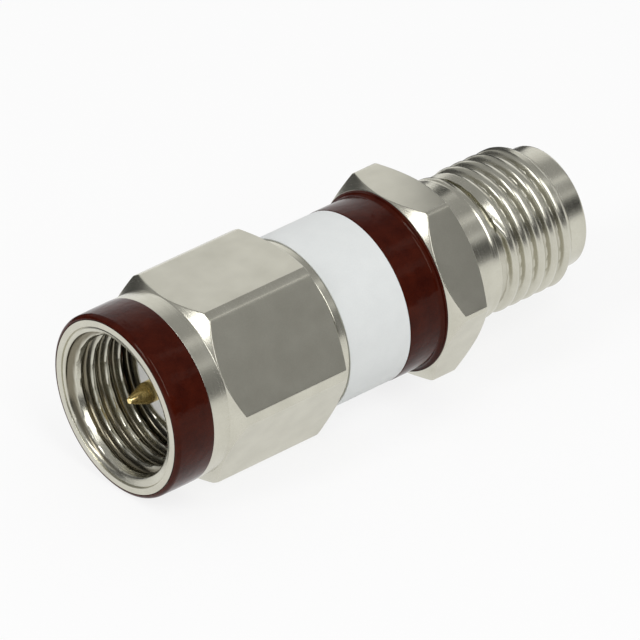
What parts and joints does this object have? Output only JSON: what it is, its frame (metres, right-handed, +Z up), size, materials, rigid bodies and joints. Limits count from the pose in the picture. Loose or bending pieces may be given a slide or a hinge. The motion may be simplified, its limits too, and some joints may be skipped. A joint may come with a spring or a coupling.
{
  "type": "coaxial attenuator",
  "caption": "Small coaxial attenuator: hexagonal coupling nut and centre pin at one end, hex-flanged threaded jack at the other, with a bare wrapped label and red-brown bands.",
  "frame": {"origin": "on the ground, midway along the part, under its axis", "axes": "+X along the axis from the coupling nut's mouth to the jack's mouth, +Z up, flats facing down"},
  "size_m": [0.0228, 0.0092, 0.008],
  "materials": {
    "steel": "passivated, fine turned",
    "lacquer": "gloss lacquer",
    "label": "satin film",
    "gold": "gold plated",
    "dielectric": "waxy",
    "bronze": "turned",
    "ceramic": "fired ceramic",
    "seal": "soft"
  },
  "bodies": {
    "body": {"gasket": "seal", "plug_shell": "steel", "plug_pin": "gold", "plug_insulator": "dielectric", "plug_rear_bead": "dielectric", "plug_bush": "bronze", "body_shell": "steel", "body_colour_band": "lacquer", "label_wrap": "label", "carrier_upper": "bronze", "carrier_lower": "bronze", "attenuator_card": "ceramic", "input_ribbon": "gold", "output_ribbon": "gold", "jack_bush": "bronze", "jack_rear_bead": "dielectric", "jack_insulator": "dielectric", "jack_contact": "gold"},
    "retainer": {"snap_ring": "bronze"},
    "nut": {"coupling_nut": "steel", "nut_colour_band": "lacquer"}
  },
  "joints": [
    {"name": "nut_float", "type": "slide", "parent": "body", "child": "retainer", "axis": [-1, 0, 0], "range_m": [0, 0.00035]},
    {"name": "nut_spin", "type": "hinge", "parent": "retainer", "child": "nut", "pos_m": [-0.00458, 0, 0.004], "axis": [1, 0, 0], "continuous": true}
  ]
}
